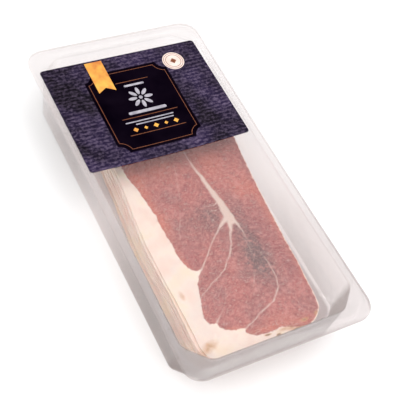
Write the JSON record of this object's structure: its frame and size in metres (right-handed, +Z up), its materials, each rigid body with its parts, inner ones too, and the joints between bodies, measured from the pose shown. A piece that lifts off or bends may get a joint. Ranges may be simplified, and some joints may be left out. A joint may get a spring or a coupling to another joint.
{
  "type": "pack of sliced prosciutto",
  "caption": "Sealed rectangular clear plastic tray with a stack of thin slices of dry-cured ham, lidded with film and a plain dark printed label.",
  "frame": {"origin": "centre of the tray's flat underside, below the centre of the flange", "axes": "+Z up out of the tray's mouth, +Y along the pack towards the end with the label, +X across it"},
  "size_m": [0.1396, 0.28, 0.038],
  "materials": {
    "clear_plastic": "clear thermoformed sheet",
    "lid_plastic": "thin clear film, glossy",
    "label_paper": "satin printed paper",
    "cured_ham": "moist, softly glossy"
  },
  "bodies": {
    "root": {"tray": "clear_plastic", "slice_01": "cured_ham", "slice_02": "cured_ham", "slice_03": "cured_ham", "slice_04": "cured_ham", "slice_05": "cured_ham", "slice_06": "cured_ham", "slice_07": "cured_ham", "slice_08": "cured_ham", "slice_09": "cured_ham", "slice_10": "cured_ham", "slice_11": "cured_ham", "slice_12": "cured_ham", "slice_13": "cured_ham", "slice_14": "cured_ham", "slice_15": "cured_ham", "slice_16": "cured_ham", "slice_17": "cured_ham", "slice_18": "cured_ham", "lid_film": "lid_plastic", "label": "label_paper"}
  },
  "joints": []
}
